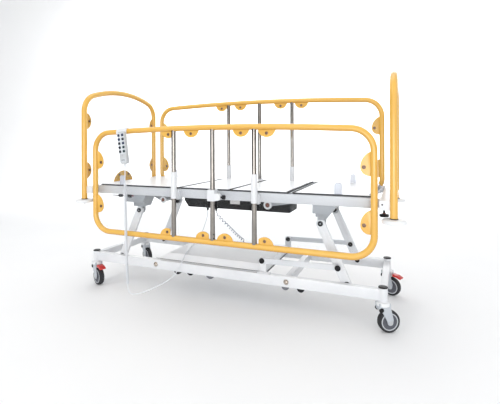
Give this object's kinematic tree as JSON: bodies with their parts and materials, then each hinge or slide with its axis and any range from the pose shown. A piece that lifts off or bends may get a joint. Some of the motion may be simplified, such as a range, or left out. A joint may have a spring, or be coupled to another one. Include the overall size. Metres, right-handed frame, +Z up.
{
  "type": "pediatric hospital cot",
  "caption": "Height-adjustable hospital cot on casters with sectioned deck, sliding side rails, arched end panels and a corded handset.",
  "frame": {"origin": "on the floor under the middle of the cot", "axes": "+X along the length away from the head end, +Y towards the back rail, +Z up"},
  "size_m": [1.7979, 0.772, 1.1989],
  "materials": {
    "white_paint": "satin powder coat",
    "light_grey": "satin powder coat",
    "yellow_paint": "glossy powder coat",
    "chrome": "polished",
    "black_plastic": "moulded",
    "grey_plastic": "moulded",
    "laminate": "compact laminate",
    "clear": "clear acrylic",
    "red_plastic": "moulded",
    "tyre_grey": "moulded tyre",
    "retainer": "translucent plastic",
    "lead_white": "cord sheath",
    "white_plastic": "moulded",
    "lead_grey": "cord sheath",
    "keys": "silicone"
  },
  "bodies": {
    "base": {"base_beam_front": "white_paint", "base_beam_back": "white_paint", "base_cross_beams": "white_paint", "corner_posts": "white_paint", "corner_caps": "black_plastic", "base_pins": "chrome", "base_cover": "grey_plastic", "lead_tail": "lead_white"},
    "arms_left": {"lift_arms_left": "white_paint"},
    "arms_right": {"lift_arms_right": "white_paint"},
    "links": {"link_bars": "white_paint"},
    "carriage": {"link_carriage": "white_paint"},
    "slides": {"slide_blocks": "light_grey"},
    "deck": {"deck_brackets": "light_grey", "deck_beam_front": "light_grey", "deck_beam_back": "light_grey", "deck_cross_tubes": "light_grey", "panel_seat": "laminate", "drive_box": "black_plastic", "rail_guides": "white_paint", "coiled_lead": "lead_grey"},
    "backrest": {"panel_back": "laminate", "back_frame": "light_grey", "retainers_back": "retainer"},
    "thigh": {"panel_thigh": "laminate", "thigh_frame": "light_grey"},
    "calf": {"panel_calf": "laminate", "retainers_calf": "retainer"},
    "latch_front": {"latch_knob_front": "black_plastic"},
    "latch_back": {"latch_knob_back": "black_plastic"},
    "end_left": {"end_frame_left": "yellow_paint", "end_carrier_left": "white_paint", "end_panel_left": "clear", "bumper_discs_left": "white_plastic"},
    "end_right": {"end_frame_right": "yellow_paint", "end_carrier_right": "white_paint", "end_panel_right": "clear", "bumper_discs_right": "white_plastic"},
    "clamp_left": {"hand_knob_left": "black_plastic"},
    "clamp_right": {"hand_knob_right": "black_plastic"},
    "rail_front": {"rail_frame_front": "yellow_paint", "rail_posts_front": "chrome", "rail_panels_front": "clear"},
    "rail_back": {"rail_frame_back": "yellow_paint", "rail_posts_back": "chrome", "rail_panels_back": "clear"},
    "handset": {"handset_shell": "white_plastic", "lead_top": "lead_white", "lead_coil": "lead_white"},
    "keypad": {"handset_keys": "keys"},
    "fork_fl": {"caster_fork_fl": "grey_plastic"},
    "wheel_fl": {"caster_wheel_fl": "tyre_grey"},
    "pedal_fl": {"brake_pedal_fl": "red_plastic"},
    "fork_fr": {"caster_fork_fr": "grey_plastic"},
    "wheel_fr": {"caster_wheel_fr": "tyre_grey"},
    "fork_bl": {"caster_fork_bl": "grey_plastic"},
    "wheel_bl": {"caster_wheel_bl": "tyre_grey"},
    "fork_br": {"caster_fork_br": "grey_plastic"},
    "wheel_br": {"caster_wheel_br": "tyre_grey"},
    "pedal_br": {"brake_pedal_br": "red_plastic"}
  },
  "joints": [
    {"name": "swivel_fl", "type": "hinge", "parent": "base", "child": "fork_fl", "pos_m": [-0.85, -0.238, 0.138], "axis": [0, 0, 1], "continuous": true},
    {"name": "roll_fl", "type": "hinge", "parent": "fork_fl", "child": "wheel_fl", "pos_m": [-0.82699, -0.24777, 0.05], "axis": [0.3907, 0.9205, 0], "continuous": true},
    {"name": "brake_fl", "type": "hinge", "parent": "fork_fl", "child": "pedal_fl", "pos_m": [-0.8187, -0.25128, 0.116], "axis": [0.3907, 0.9205, 0], "range_deg": [0, 8]},
    {"name": "swivel_fr", "type": "hinge", "parent": "base", "child": "fork_fr", "pos_m": [0.8, -0.238, 0.138], "axis": [0, 0, 1], "continuous": true},
    {"name": "roll_fr", "type": "hinge", "parent": "fork_fr", "child": "wheel_fr", "pos_m": [0.82165, -0.2255, 0.05], "axis": [-0.5, 0.866, 0], "continuous": true},
    {"name": "swivel_bl", "type": "hinge", "parent": "base", "child": "fork_bl", "pos_m": [-0.85, 0.238, 0.138], "axis": [0, 0, 1], "continuous": true},
    {"name": "roll_bl", "type": "hinge", "parent": "fork_bl", "child": "wheel_bl", "pos_m": [-0.82753, 0.22704, 0.05], "axis": [0.4384, 0.8988, 0], "continuous": true},
    {"name": "swivel_br", "type": "hinge", "parent": "base", "child": "fork_br", "pos_m": [0.8, 0.238, 0.138], "axis": [0, 0, 1], "continuous": true},
    {"name": "roll_br", "type": "hinge", "parent": "fork_br", "child": "wheel_br", "pos_m": [0.82284, 0.22783, 0.05], "axis": [0.4067, 0.9135, 0], "continuous": true},
    {"name": "brake_br", "type": "hinge", "parent": "fork_br", "child": "pedal_br", "pos_m": [0.83106, 0.22417, 0.116], "axis": [0.4067, 0.9135, 0], "range_deg": [0, 8]},
    {"name": "lift", "type": "hinge", "parent": "base", "child": "arms_left", "pos_m": [-0.671, 0, 0.18], "axis": [0, 1, 0], "range_deg": [-12, 42], "deforming": ["lead_tail", "coiled_lead"]},
    {"name": "deck_level", "type": "hinge", "parent": "arms_left", "child": "deck", "pos_m": [-0.547, 0, 0.462], "axis": [0, 1, 0], "range_deg": [-42, 12]},
    {"name": "right_arms", "type": "hinge", "parent": "base", "child": "arms_right", "pos_m": [0.64, 0, 0.18], "axis": [0, 1, 0], "range_deg": [-42, 12]},
    {"name": "slide_level", "type": "hinge", "parent": "arms_right", "child": "slides", "pos_m": [0.516, 0, 0.462], "axis": [0, 1, 0], "range_deg": [-12, 42]},
    {"name": "link_swing", "type": "hinge", "parent": "arms_right", "child": "links", "pos_m": [0.602, 0, 0.267], "axis": [0, 1, 0], "range_deg": [-14, 49]},
    {"name": "carriage_travel", "type": "slide", "parent": "base", "child": "carriage", "axis": [1, 0, 0], "range_m": [-0.055, 0.02]},
    {"name": "backrest", "type": "hinge", "parent": "deck", "child": "backrest", "pos_m": [-0.23, 0, 0.6145], "axis": [0, 1, 0], "range_deg": [0, 70]},
    {"name": "thigh", "type": "hinge", "parent": "deck", "child": "thigh", "pos_m": [0.068, 0, 0.6145], "axis": [0, -1, 0], "range_deg": [0, 35]},
    {"name": "calf", "type": "hinge", "parent": "thigh", "child": "calf", "pos_m": [0.393, 0, 0.604], "axis": [0, 1, 0], "range_deg": [0, 65.5]},
    {"name": "rail_front", "type": "slide", "parent": "deck", "child": "rail_front", "axis": [0, 0, 1], "range_m": [0, 0.194]},
    {"name": "rail_back", "type": "slide", "parent": "deck", "child": "rail_back", "axis": [0, 0, 1], "range_m": [-0.194, 0]},
    {"name": "latch_front", "type": "slide", "parent": "deck", "child": "latch_front", "axis": [1, 0, 0], "range_m": [0, 0.008], "stiffness_N_per_m": 800},
    {"name": "latch_back", "type": "slide", "parent": "deck", "child": "latch_back", "axis": [1, 0, 0], "range_m": [0, 0.008], "stiffness_N_per_m": 800},
    {"name": "end_left", "type": "slide", "parent": "deck", "child": "end_left", "axis": [-1, 0, 0], "range_m": [0, 0.08]},
    {"name": "end_right", "type": "slide", "parent": "deck", "child": "end_right", "axis": [1, 0, 0], "range_m": [0, 0.08]},
    {"name": "clamp_left", "type": "hinge", "parent": "end_left", "child": "clamp_left", "pos_m": [-0.808, -0.29, 0.545], "axis": [0, 0, 1], "range_deg": [0, 270]},
    {"name": "clamp_right", "type": "hinge", "parent": "end_right", "child": "clamp_right", "pos_m": [0.808, -0.29, 0.545], "axis": [0, 0, 1], "range_deg": [0, 270]},
    {"name": "handset_lift", "type": "slide", "parent": "rail_front", "child": "handset", "axis": [0, 0, 1], "range_m": [0, 0.03]},
    {"name": "keypad_press", "type": "slide", "parent": "handset", "child": "keypad", "axis": [0, 1, 0], "range_m": [0, 0.001], "stiffness_N_per_m": 800}
  ],
  "couplings": [
    {"joint": "deck_level", "follows": "lift", "ratio": -1},
    {"joint": "right_arms", "follows": "lift", "ratio": -1},
    {"joint": "slide_level", "follows": "lift", "ratio": 1},
    {"joint": "link_swing", "follows": "lift", "ratio": 1.16},
    {"joint": "carriage_travel", "follows": "lift", "m_per_rad": -0.0682},
    {"joint": "calf", "follows": "thigh", "ratio": 1.86}
  ]
}
